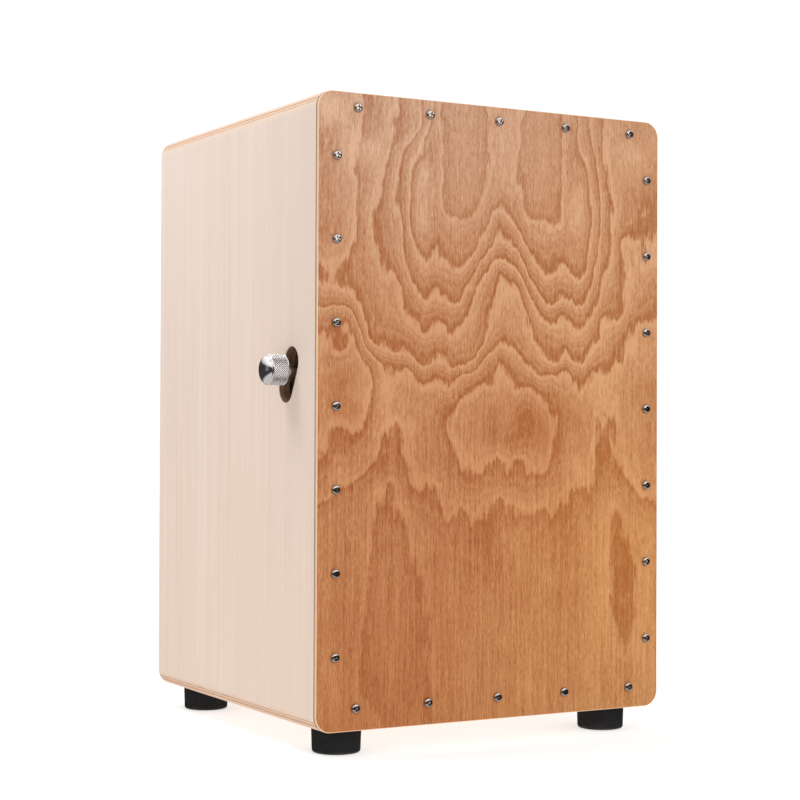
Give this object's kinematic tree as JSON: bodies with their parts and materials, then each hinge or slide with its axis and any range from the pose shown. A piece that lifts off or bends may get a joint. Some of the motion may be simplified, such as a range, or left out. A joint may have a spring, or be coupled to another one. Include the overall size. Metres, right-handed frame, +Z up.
{
  "type": "cajon",
  "caption": "Wooden box drum on rubber feet with a screwed front plate and an internal snare swung by a side lever.",
  "frame": {"origin": "on the floor, under the middle of the box (the box alone, without the knob that stands out of its left side)", "axes": "+Z up, -Y out of the struck front plate, +Y out of the back with the sound hole, -X the side with the snare lever's knob"},
  "size_m": [0.323, 0.3023, 0.477],
  "materials": {
    "front_veneer": "satin",
    "panel_plywood": "satin",
    "frame_softwood": "matte",
    "bar_hardwood": "matte",
    "foot_rubber": "matte",
    "chrome_plate": "polished",
    "zinc_steel": "satin",
    "snare_wire": "bright",
    "nylon": "matte"
  },
  "bodies": {
    "cabinet": {"front_plate": "front_veneer", "left_side_panel": "panel_plywood", "right_side_panel": "panel_plywood", "top_panel": "panel_plywood", "bottom_panel": "panel_plywood", "back_panel": "panel_plywood", "front_batten_left": "frame_softwood", "front_batten_right": "frame_softwood", "front_batten_top": "frame_softwood", "front_batten_bottom": "frame_softwood", "rear_cleat_left": "frame_softwood", "rear_cleat_right": "frame_softwood", "rear_cleat_top": "frame_softwood", "rear_cleat_bottom": "frame_softwood", "corner_glue_strips": "frame_softwood", "front_plate_screws": "chrome_plate", "back_panel_screws": "zinc_steel", "foot_front_left": "foot_rubber", "foot_front_right": "foot_rubber", "foot_rear_left": "foot_rubber", "foot_rear_right": "foot_rubber", "foot_washers": "zinc_steel", "foot_screws": "zinc_steel", "bearing_block_left": "frame_softwood", "bearing_block_right": "frame_softwood", "bearing_block_screws": "zinc_steel", "pivot_bush_left": "nylon", "pivot_bush_right": "nylon"},
    "snare_frame": {"axle_rod": "zinc_steel", "friction_washer_left": "nylon", "friction_washer_right": "nylon", "lever_arm_left": "zinc_steel", "swing_arm_right": "zinc_steel", "arm_set_screws": "zinc_steel", "snare_bar": "bar_hardwood", "snare_bar_screws": "zinc_steel", "snare_tab_left": "zinc_steel", "snare_tab_right": "zinc_steel", "snare_tab_screws": "zinc_steel", "snare_wires_left": "snare_wire", "snare_wires_right": "snare_wire", "lever_stud": "zinc_steel", "stud_nut": "zinc_steel"},
    "knob_sleeve": {"knob_collar": "chrome_plate"},
    "knob": {"knurled_knob": "chrome_plate"}
  },
  "joints": [
    {"name": "snare_lever", "type": "hinge", "parent": "cabinet", "child": "snare_frame", "pos_m": [0, -0.06, 0.2985], "axis": [1, 0, 0], "range_deg": [-11, 16]},
    {"name": "knob_slide", "type": "slide", "parent": "snare_frame", "child": "knob_sleeve", "axis": [-1, 0, 0], "range_m": [0, 0.0015]},
    {"name": "knob_turn", "type": "hinge", "parent": "knob_sleeve", "child": "knob", "pos_m": [-0.163, -0.105, 0.278], "axis": [-1, 0, 0], "range_deg": [0, 540]}
  ],
  "couplings": [
    {"joint": "knob_turn", "follows": "knob_slide", "rad_per_m": 6283.2}
  ]
}
